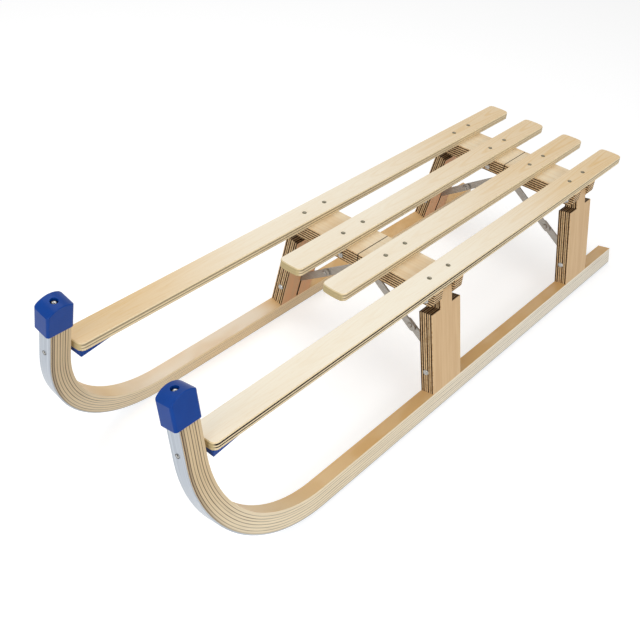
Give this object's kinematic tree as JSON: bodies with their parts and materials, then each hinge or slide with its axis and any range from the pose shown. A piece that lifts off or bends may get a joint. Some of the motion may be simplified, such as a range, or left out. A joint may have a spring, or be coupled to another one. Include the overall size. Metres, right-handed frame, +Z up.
{
  "type": "folding wooden sled",
  "caption": "Folding slatted wooden sled: bent runners with capped horns, canted legs in forked yokes hinged at the middle, and crossing steel stays.",
  "frame": {"origin": "bottom centre of the bounding box, on the floor midway between the runners", "axes": "+X forward to the horns, +Y to the left side, +Z up"},
  "size_m": [1.0972, 0.3658, 0.3137],
  "materials": {
    "slat_ply": "clear satin varnish on pale plywood",
    "frame_ply": "clear satin varnish, plies showing on the edges",
    "runner_ply": "clear satin varnish on bent laminated wood",
    "blue_plastic": "moulded satin plastic",
    "runner_steel": "bright steel strip",
    "pin_steel": "zinc plated steel"
  },
  "bodies": {
    "right_frame": {"right_front_leg": "frame_ply", "right_front_stay_foot_pin_front": "pin_steel", "right_front_stay_foot_pin_rear": "pin_steel", "right_horn_cap": "blue_plastic", "right_rear_leg": "frame_ply", "right_rear_stay_foot_pin_front": "pin_steel", "right_rear_stay_foot_pin_rear": "pin_steel", "right_runner": "runner_ply", "right_runner_strip": "runner_steel"},
    "right_seat": {"front_hinge_pin": "pin_steel", "rear_hinge_pin": "pin_steel", "right_front_fold_pin": "pin_steel", "right_front_hinge_leaf": "pin_steel", "right_front_stay_head_pin": "pin_steel", "right_front_yoke": "frame_ply", "right_inner_slat": "slat_ply", "right_outer_slat": "slat_ply", "right_rear_fold_pin": "pin_steel", "right_rear_hinge_leaf": "pin_steel", "right_rear_stay_head_pin": "pin_steel", "right_rear_yoke": "frame_ply", "right_slat_wedge": "blue_plastic"},
    "left_seat": {"left_front_fold_pin": "pin_steel", "left_front_hinge_leaf": "pin_steel", "left_front_stay_head_pin": "pin_steel", "left_front_yoke": "frame_ply", "left_inner_slat": "slat_ply", "left_outer_slat": "slat_ply", "left_rear_fold_pin": "pin_steel", "left_rear_hinge_leaf": "pin_steel", "left_rear_stay_head_pin": "pin_steel", "left_rear_yoke": "frame_ply", "left_slat_wedge": "blue_plastic"},
    "left_frame": {"left_front_leg": "frame_ply", "left_front_stay_foot_pin_front": "pin_steel", "left_front_stay_foot_pin_rear": "pin_steel", "left_horn_cap": "blue_plastic", "left_rear_leg": "frame_ply", "left_rear_stay_foot_pin_front": "pin_steel", "left_rear_stay_foot_pin_rear": "pin_steel", "left_runner": "runner_ply", "left_runner_strip": "runner_steel"},
    "left_stay": {"left_front_stay_lower": "pin_steel", "left_front_stay_rivet": "pin_steel", "left_front_stay_upper": "pin_steel", "left_rear_stay_lower": "pin_steel", "left_rear_stay_rivet": "pin_steel", "left_rear_stay_upper": "pin_steel"},
    "right_stay": {"right_front_stay_lower": "pin_steel", "right_front_stay_rivet": "pin_steel", "right_front_stay_upper": "pin_steel", "right_rear_stay_lower": "pin_steel", "right_rear_stay_rivet": "pin_steel", "right_rear_stay_upper": "pin_steel"}
  },
  "joints": [
    {"name": "seat_fold", "type": "hinge", "parent": "right_seat", "child": "left_seat", "pos_m": [-0.19225, 0, 0.1883], "axis": [-1, 0, 0], "range_deg": [0, 145]},
    {"name": "right_fold", "type": "hinge", "parent": "right_frame", "child": "right_seat", "pos_m": [-0.19225, -0.13209, 0.1997], "axis": [1, 0, 0], "range_deg": [0, 52.93]},
    {"name": "left_fold", "type": "hinge", "parent": "left_seat", "child": "left_frame", "pos_m": [-0.19225, 0.13209, 0.1997], "axis": [1, 0, 0], "range_deg": [0, 52.93]},
    {"name": "left_stay_swing", "type": "hinge", "parent": "right_seat", "child": "left_stay", "pos_m": [-0.19225, -0.03347, 0.199], "axis": [-1, 0, 0], "range_deg": [0, 115.85]},
    {"name": "right_stay_swing", "type": "hinge", "parent": "left_seat", "child": "right_stay", "pos_m": [-0.19225, 0.03347, 0.199], "axis": [1, 0, 0], "range_deg": [0, 115.85]}
  ],
  "couplings": [
    {"joint": "right_fold", "follows": "seat_fold", "ratio": 0.36431},
    {"joint": "left_fold", "follows": "seat_fold", "ratio": 0.36431},
    {"joint": "left_stay_swing", "follows": "seat_fold", "ratio": 0.79828},
    {"joint": "right_stay_swing", "follows": "seat_fold", "ratio": 0.79828}
  ]
}
